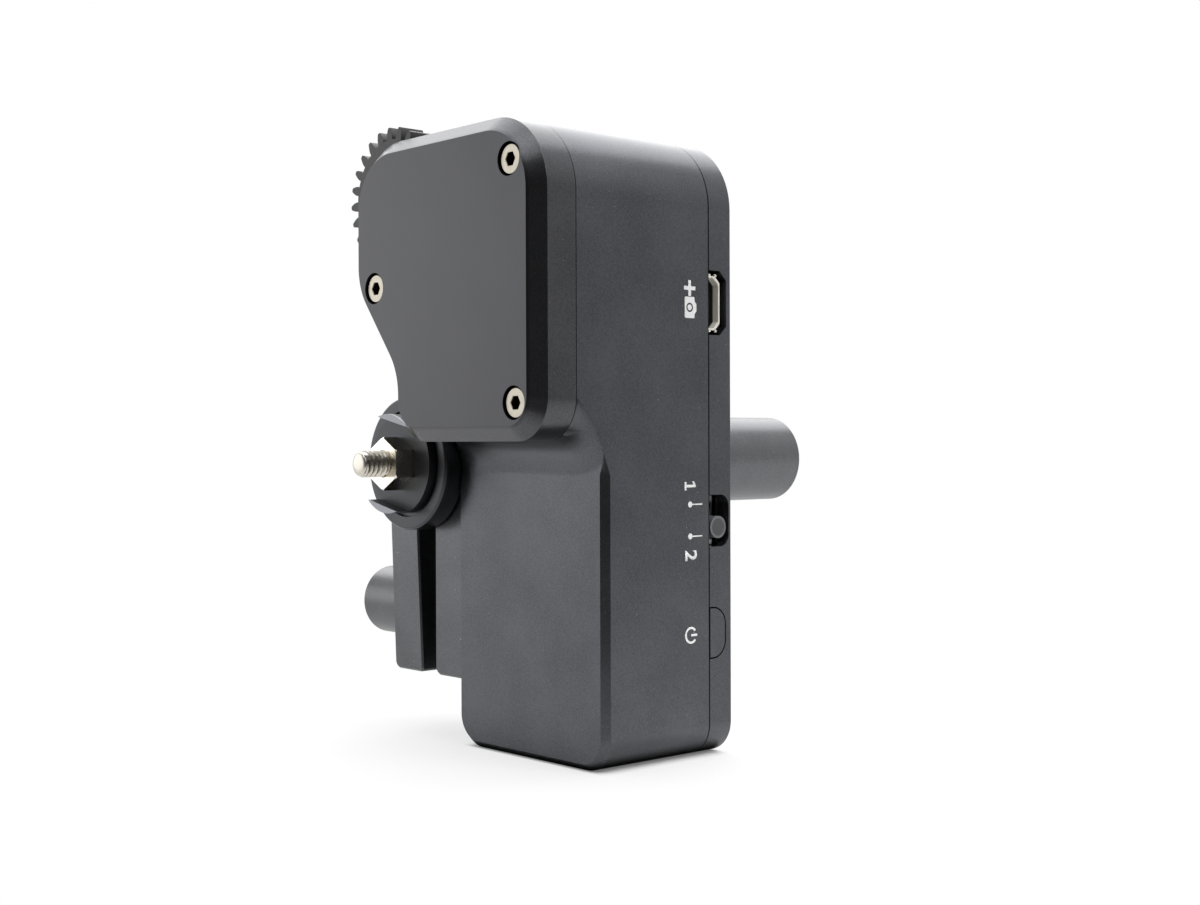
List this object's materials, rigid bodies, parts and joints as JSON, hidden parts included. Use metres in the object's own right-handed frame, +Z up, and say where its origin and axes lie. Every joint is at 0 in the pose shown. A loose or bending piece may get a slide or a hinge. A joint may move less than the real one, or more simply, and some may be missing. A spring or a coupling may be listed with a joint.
{
  "type": "follow focus unit",
  "caption": "Geared lens motor in a slim metal housing, with a drive gear under its front cover and a split clamp that grips a mounting rod beside it.",
  "frame": {"origin": "centre of the housing's flat base, midway between its side walls and between its lower front face and its back", "axes": "+Z up along the housing, -Y towards the gear cover, +X towards the wall with the socket and switches; the rod runs along Y on the -X side"},
  "size_m": [0.0625, 0.0913, 0.0913],
  "materials": {
    "anodised_shell": "fine blasted black anodising",
    "anodised_rod": "turned, black anodised",
    "gear_plastic": "moulded dark grey acetal",
    "nickel_screw": "bright nickel plate",
    "black_screw": "black oxide",
    "steel": "ground steel",
    "bronze_bush": "sintered bronze and brass",
    "magnet": "sintered magnet",
    "bright_sheet": "nickel plated sheet",
    "socket_tongue": "cream moulding",
    "switch_plastic": "black moulding",
    "board": "green solder mask",
    "chip": "black epoxy",
    "cell_wrap": "silver foil pouch",
    "foam": "closed-cell foam",
    "lead_cover": "silicone insulation"
  },
  "bodies": {
    "housing": {"main_housing": "anodised_shell", "gear_cover": "anodised_shell", "back_cover": "anodised_shell", "cover_screws": "nickel_screw", "back_cover_screws": "black_screw", "motor_screws": "black_screw", "board_screws": "black_screw", "clamp_block_screws": "black_screw", "clamp_block": "anodised_shell", "gearbox_case": "steel", "output_bush": "bronze_bush", "motor_can": "steel", "motor_magnets": "magnet", "motor_bushes": "bronze_bush", "motor_end_cap": "switch_plastic", "motor_terminals": "bronze_bush", "circuit_board": "board", "control_chips": "chip", "encoder_chip": "chip", "usb_shell": "bright_sheet", "usb_tongue": "socket_tongue", "slide_switch_case": "bright_sheet", "push_switch": "switch_plastic", "battery": "cell_wrap", "battery_foam": "foam", "battery_leads": "lead_cover", "front_bush": "bronze_bush", "drive_bearing": "steel", "idler_pin": "steel"},
    "rotor": {"motor_rotor": "steel", "sun_gear": "steel", "encoder_magnet": "magnet"},
    "output": {"planet_carrier": "steel", "motor_gear": "steel"},
    "planet_1": {"planet_gear_1": "steel"},
    "planet_2": {"planet_gear_2": "steel"},
    "planet_3": {"planet_gear_3": "steel"},
    "idler": {"idler_gear": "gear_plastic", "idler_bush": "bronze_bush"},
    "drive": {"drive_gear": "gear_plastic", "drive_shaft": "steel"},
    "button": {"power_button": "anodised_shell", "switch_plunger": "switch_plastic"},
    "slider": {"mode_slider": "switch_plastic"},
    "washer": {"clamp_washer": "steel"},
    "knob": {"clamp_knob": "anodised_shell", "clamp_screw": "nickel_screw"},
    "ring": {"stop_ring": "anodised_rod"},
    "rod": {"mounting_rod": "anodised_rod", "rod_head": "anodised_rod", "mounting_stud": "nickel_screw"},
    "nut": {"lock_nut": "nickel_screw"}
  },
  "joints": [
    {"name": "rotor_spin", "type": "hinge", "parent": "housing", "child": "rotor", "pos_m": [0, 0, 0.0588], "axis": [0, 1, 0], "continuous": true},
    {"name": "output_spin", "type": "hinge", "parent": "housing", "child": "output", "pos_m": [0, -0.014, 0.0588], "axis": [0, 1, 0], "continuous": true},
    {"name": "planet_1_spin", "type": "hinge", "parent": "output", "child": "planet_1", "pos_m": [0, -0.009, 0.0648], "axis": [0, 1, 0], "continuous": true},
    {"name": "planet_2_spin", "type": "hinge", "parent": "output", "child": "planet_2", "pos_m": [-0.0052, -0.009, 0.0558], "axis": [0, 1, 0], "continuous": true},
    {"name": "planet_3_spin", "type": "hinge", "parent": "output", "child": "planet_3", "pos_m": [0.0052, -0.009, 0.0558], "axis": [0, 1, 0], "continuous": true},
    {"name": "idler_spin", "type": "hinge", "parent": "housing", "child": "idler", "pos_m": [-0.00688, -0.0196, 0.07053], "axis": [0, 1, 0], "continuous": true},
    {"name": "drive_spin", "type": "hinge", "parent": "housing", "child": "drive", "pos_m": [-0.0201, -0.0196, 0.0809], "axis": [0, 1, 0], "continuous": true},
    {"name": "power_press", "type": "slide", "parent": "housing", "child": "button", "axis": [-1, 0, 0], "range_m": [0, 0.0004], "stiffness_N_per_m": 2000, "springref_m": -0.0002},
    {"name": "mode_slide", "type": "slide", "parent": "housing", "child": "slider", "axis": [0, 0, 1], "range_m": [0, 0.0019]},
    {"name": "washer_slide", "type": "slide", "parent": "housing", "child": "washer", "axis": [-1, 0, 0], "range_m": [0, 0.0014]},
    {"name": "knob_turn", "type": "hinge", "parent": "washer", "child": "knob", "pos_m": [-0.0404, -0.00415, 0.01915], "axis": [-1, 0, 0], "range_deg": [0, 720]},
    {"name": "rod_slide", "type": "slide", "parent": "housing", "child": "ring", "axis": [0, -1, 0], "range_m": [0, 0.055]},
    {"name": "rod_turn", "type": "hinge", "parent": "ring", "child": "rod", "pos_m": [-0.0254, 0, 0.0418], "axis": [0, 1, 0], "continuous": true},
    {"name": "nut_turn", "type": "hinge", "parent": "rod", "child": "nut", "pos_m": [-0.0254, -0.01805, 0.0418], "axis": [0, -1, 0], "range_deg": [0, 360]}
  ],
  "couplings": [
    {"joint": "output_spin", "follows": "rotor_spin", "ratio": 0.25},
    {"joint": "planet_1_spin", "follows": "rotor_spin", "ratio": -0.75},
    {"joint": "planet_2_spin", "follows": "rotor_spin", "ratio": -0.75},
    {"joint": "planet_3_spin", "follows": "rotor_spin", "ratio": -0.75},
    {"joint": "idler_spin", "follows": "rotor_spin", "ratio": -0.22222},
    {"joint": "drive_spin", "follows": "rotor_spin", "ratio": 0.16667},
    {"joint": "knob_turn", "follows": "washer_slide", "rad_per_m": 8976}
  ]
}
